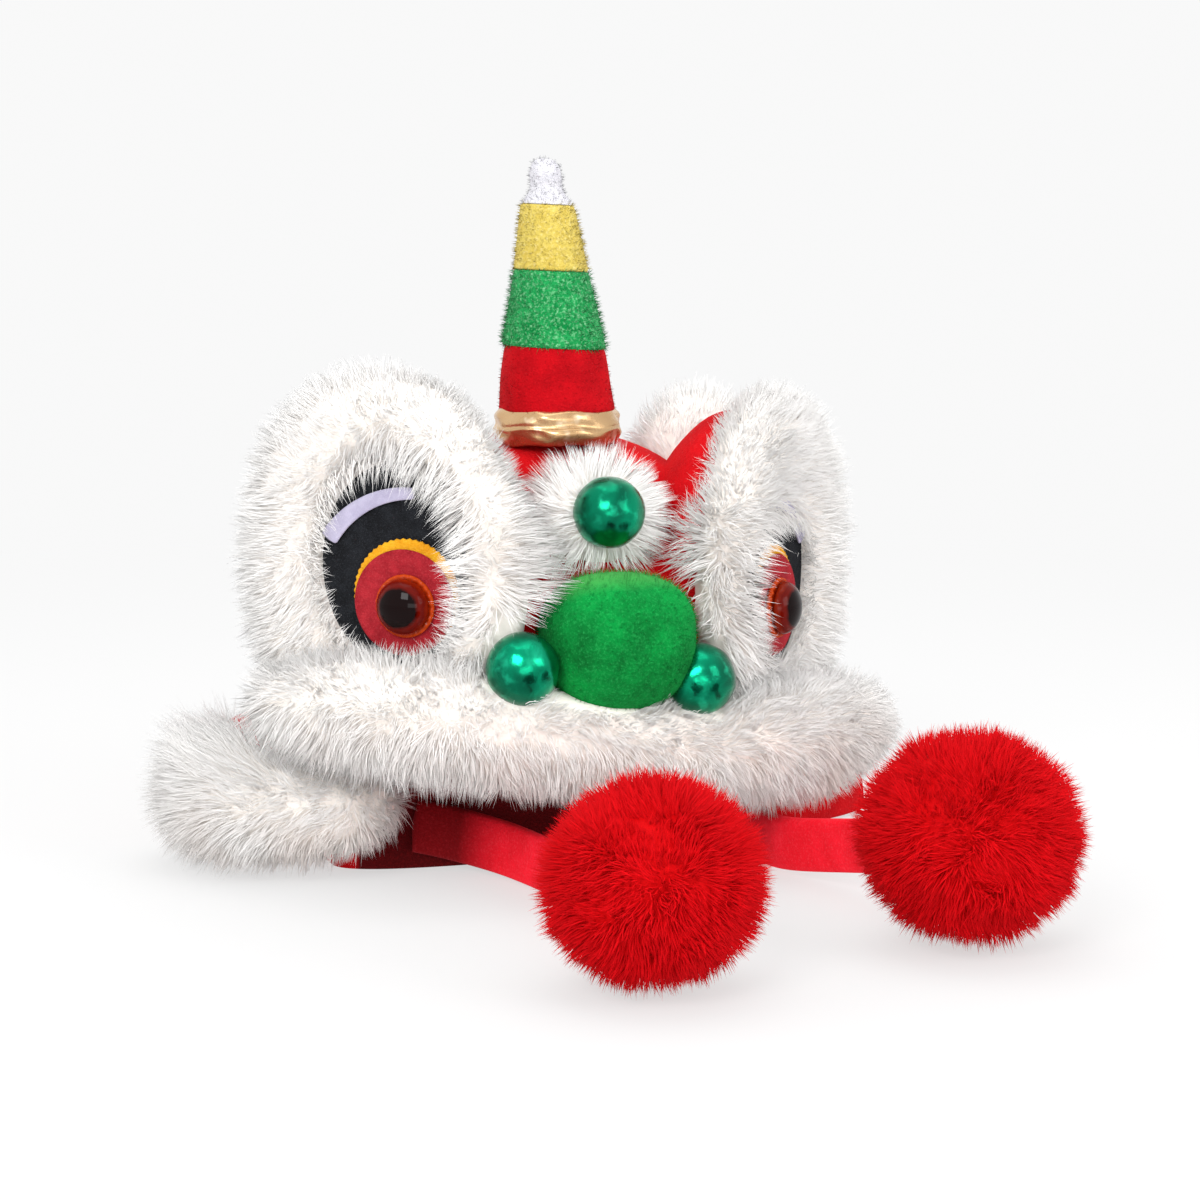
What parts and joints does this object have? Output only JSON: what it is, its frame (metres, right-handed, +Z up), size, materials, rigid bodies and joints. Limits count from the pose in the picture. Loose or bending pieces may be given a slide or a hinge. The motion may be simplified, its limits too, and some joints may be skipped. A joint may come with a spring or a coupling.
{
  "type": "pet lion hat",
  "caption": "White faux-fur lion-dance hat for a cat or small dog, with a striped horn, button eyes, a green nose and red pompoms on straps, resting on a surface.",
  "frame": {"origin": "bottom centre of the whole hat's box, on the surface that it rests on", "axes": "+Z up, the face looks towards -Y, +X to the viewer's right"},
  "size_m": [0.2096, 0.2216, 0.185],
  "materials": {
    "white_fur": "long white faux fur",
    "red_plush": "short red plush",
    "horn_red": "dark red felted plush",
    "green_plush": "speckled green plush",
    "yellow_plush": "yellow terry plush",
    "white_plush": "white velvet",
    "gold_cloth": "shiny gold cloth",
    "green_velvet": "green velvet",
    "green_foil": "metallic green foil cloth",
    "black_felt": "black felt",
    "lilac_satin": "pale lilac satin",
    "yellow_felt": "yellow felt",
    "red_felt": "red felt",
    "amber_plastic": "clear amber plastic with a dark pupil",
    "red_pile": "dense red pompom pile",
    "red_fleece": "red fleece"
  },
  "bodies": {
    "root": {"crown": "red_plush", "horn_red": "horn_red", "horn_green": "green_plush", "horn_yellow": "yellow_plush", "horn_tip": "white_plush", "horn_band": "gold_cloth", "nose": "green_velvet", "cheek_ball_left": "green_foil", "cheek_ball_right": "green_foil", "forehead_ball": "green_foil", "forehead_fur": "white_fur", "lip_fur": "white_fur", "eye_pad_left": "black_felt", "eye_crescent_left": "lilac_satin", "eye_yellow_left": "yellow_felt", "eye_red_left": "red_felt", "eye_rim_left": "amber_plastic", "eye_dome_left": "amber_plastic", "brow_backing_left": "red_plush", "brow_left": "white_fur", "ear_left": "white_fur", "flap_left": "red_plush", "flap_fur_left": "white_fur", "pompom_left": "red_pile", "strap_left": "red_fleece", "eye_pad_right": "black_felt", "eye_crescent_right": "lilac_satin", "eye_yellow_right": "yellow_felt", "eye_red_right": "red_felt", "eye_rim_right": "amber_plastic", "eye_dome_right": "amber_plastic", "brow_backing_right": "red_plush", "brow_right": "white_fur", "ear_right": "white_fur", "flap_right": "red_plush", "flap_fur_right": "white_fur", "pompom_right": "red_pile", "strap_right": "red_fleece"}
  },
  "joints": []
}
